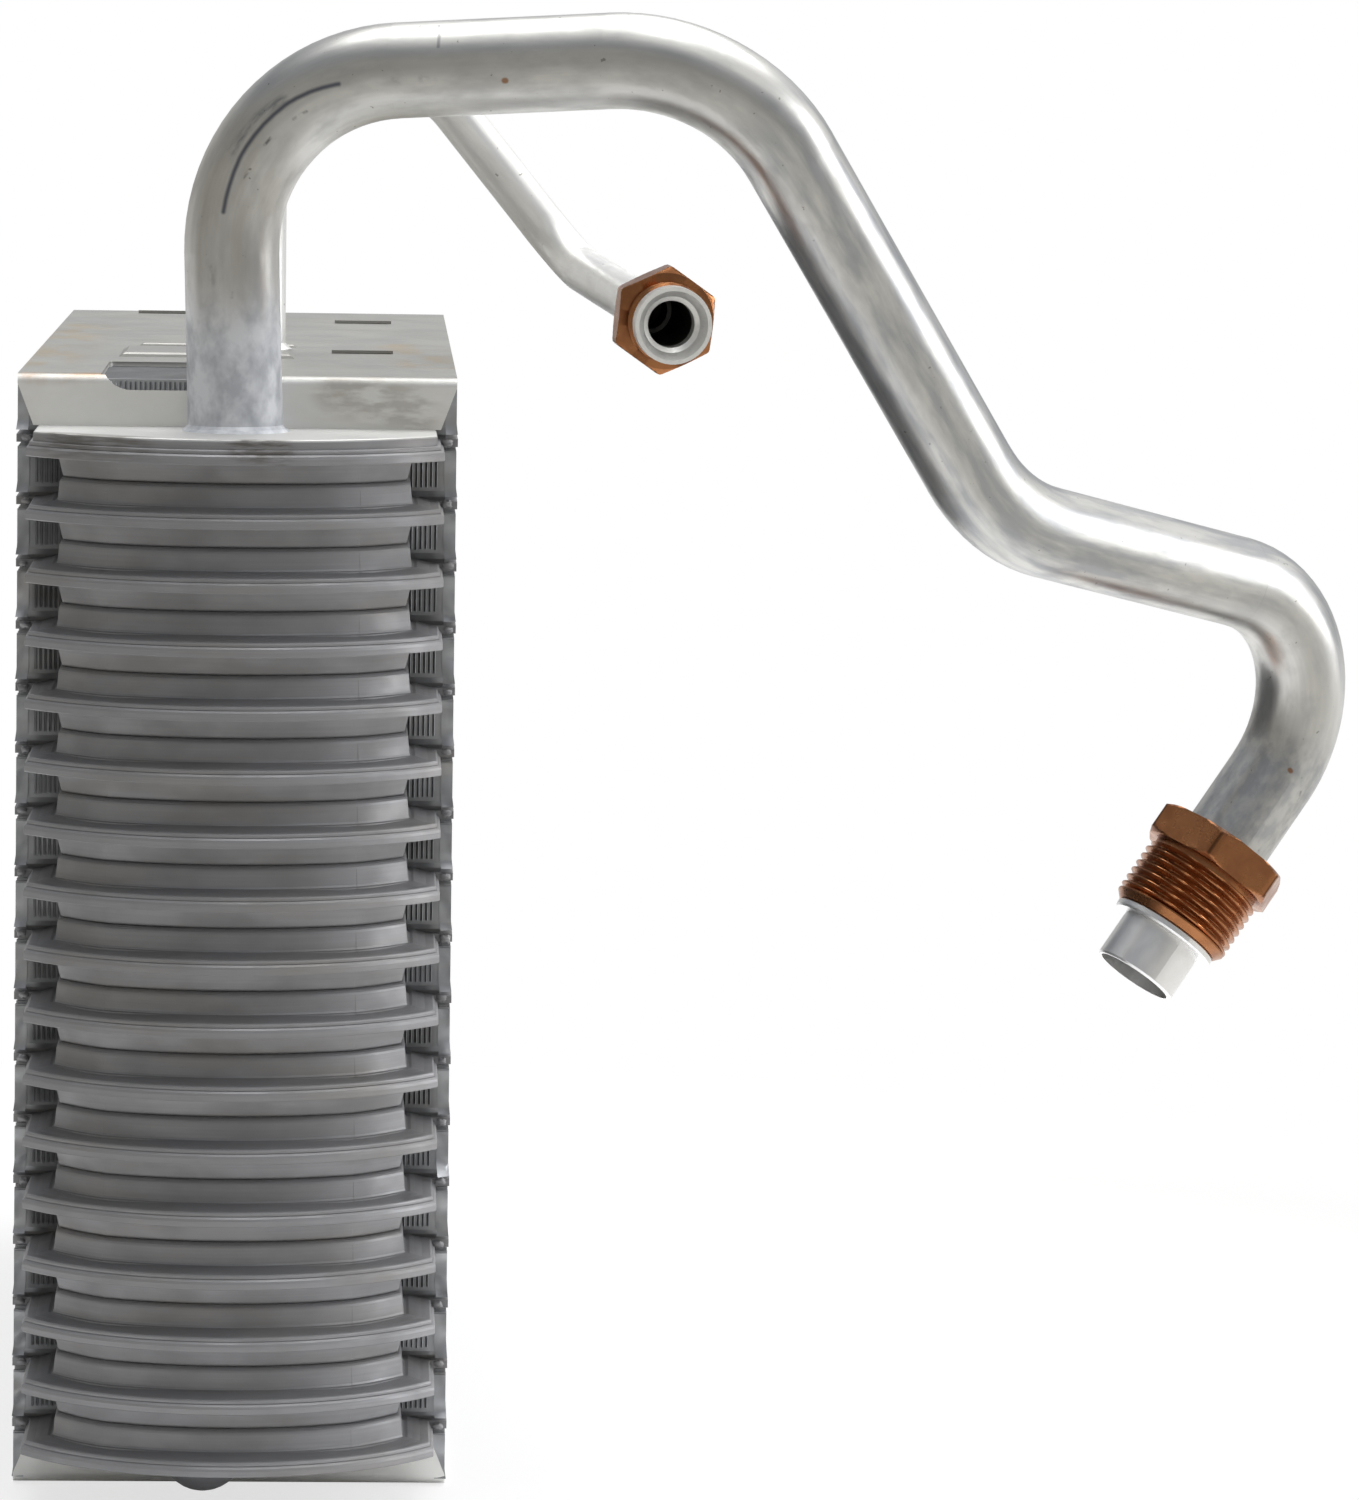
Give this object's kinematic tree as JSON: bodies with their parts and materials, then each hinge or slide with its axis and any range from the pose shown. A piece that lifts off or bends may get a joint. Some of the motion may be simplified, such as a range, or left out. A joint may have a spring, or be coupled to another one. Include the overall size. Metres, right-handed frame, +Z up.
{
  "type": "evaporator core",
  "caption": "Laminated plate and fin evaporator core with a tank at each end, a bent suction pipe and a bent liquid pipe, each with a loose threaded fitting nut.",
  "frame": {"origin": "middle of the underside of the bottom end plate", "axes": "+Z up the stack of plates and fins; the fins run along Y from the front tank at -Y, which carries the suction pipe, to the back tank at +Y; air passes along X"},
  "size_m": [0.2804, 0.3445, 0.3031],
  "materials": {
    "end_plate_sheet": "satin mill finish with flux stains",
    "tube_plate_sheet": "dull, as brazed",
    "fin_foil": "dull foil",
    "suction_tube": "drawn tube, satin with scuffs",
    "liquid_tube": "drawn tube, satin",
    "fitting_nut": "dark brown patina"
  },
  "bodies": {
    "root": {"top_end_plate": "end_plate_sheet", "bottom_end_plate": "end_plate_sheet", "upper_plate_01": "tube_plate_sheet", "upper_plate_02": "tube_plate_sheet", "upper_plate_03": "tube_plate_sheet", "upper_plate_04": "tube_plate_sheet", "upper_plate_05": "tube_plate_sheet", "upper_plate_06": "tube_plate_sheet", "upper_plate_07": "tube_plate_sheet", "upper_plate_08": "tube_plate_sheet", "upper_plate_09": "tube_plate_sheet", "upper_plate_10": "tube_plate_sheet", "upper_plate_11": "tube_plate_sheet", "upper_plate_12": "tube_plate_sheet", "upper_plate_13": "tube_plate_sheet", "upper_plate_14": "tube_plate_sheet", "upper_plate_15": "tube_plate_sheet", "upper_plate_16": "tube_plate_sheet", "upper_plate_17": "tube_plate_sheet", "lower_plate_01": "tube_plate_sheet", "lower_plate_02": "tube_plate_sheet", "lower_plate_03": "tube_plate_sheet", "lower_plate_04": "tube_plate_sheet", "lower_plate_05": "tube_plate_sheet", "lower_plate_06": "tube_plate_sheet", "lower_plate_07": "tube_plate_sheet", "lower_plate_08": "tube_plate_sheet", "lower_plate_09": "tube_plate_sheet", "lower_plate_10": "tube_plate_sheet", "lower_plate_11": "tube_plate_sheet", "lower_plate_12": "tube_plate_sheet", "lower_plate_13": "tube_plate_sheet", "lower_plate_14": "tube_plate_sheet", "lower_plate_15": "tube_plate_sheet", "lower_plate_16": "tube_plate_sheet", "lower_plate_17": "tube_plate_sheet", "fin_01": "fin_foil", "fin_02": "fin_foil", "fin_03": "fin_foil", "fin_04": "fin_foil", "fin_05": "fin_foil", "fin_06": "fin_foil", "fin_07": "fin_foil", "fin_08": "fin_foil", "fin_09": "fin_foil", "fin_10": "fin_foil", "fin_11": "fin_foil", "fin_12": "fin_foil", "fin_13": "fin_foil", "fin_14": "fin_foil", "fin_15": "fin_foil", "fin_16": "fin_foil", "fin_17": "fin_foil", "fin_18": "fin_foil", "suction_pipe": "suction_tube", "suction_nut": "fitting_nut", "liquid_pipe": "liquid_tube", "liquid_nut": "fitting_nut"}
  },
  "joints": []
}
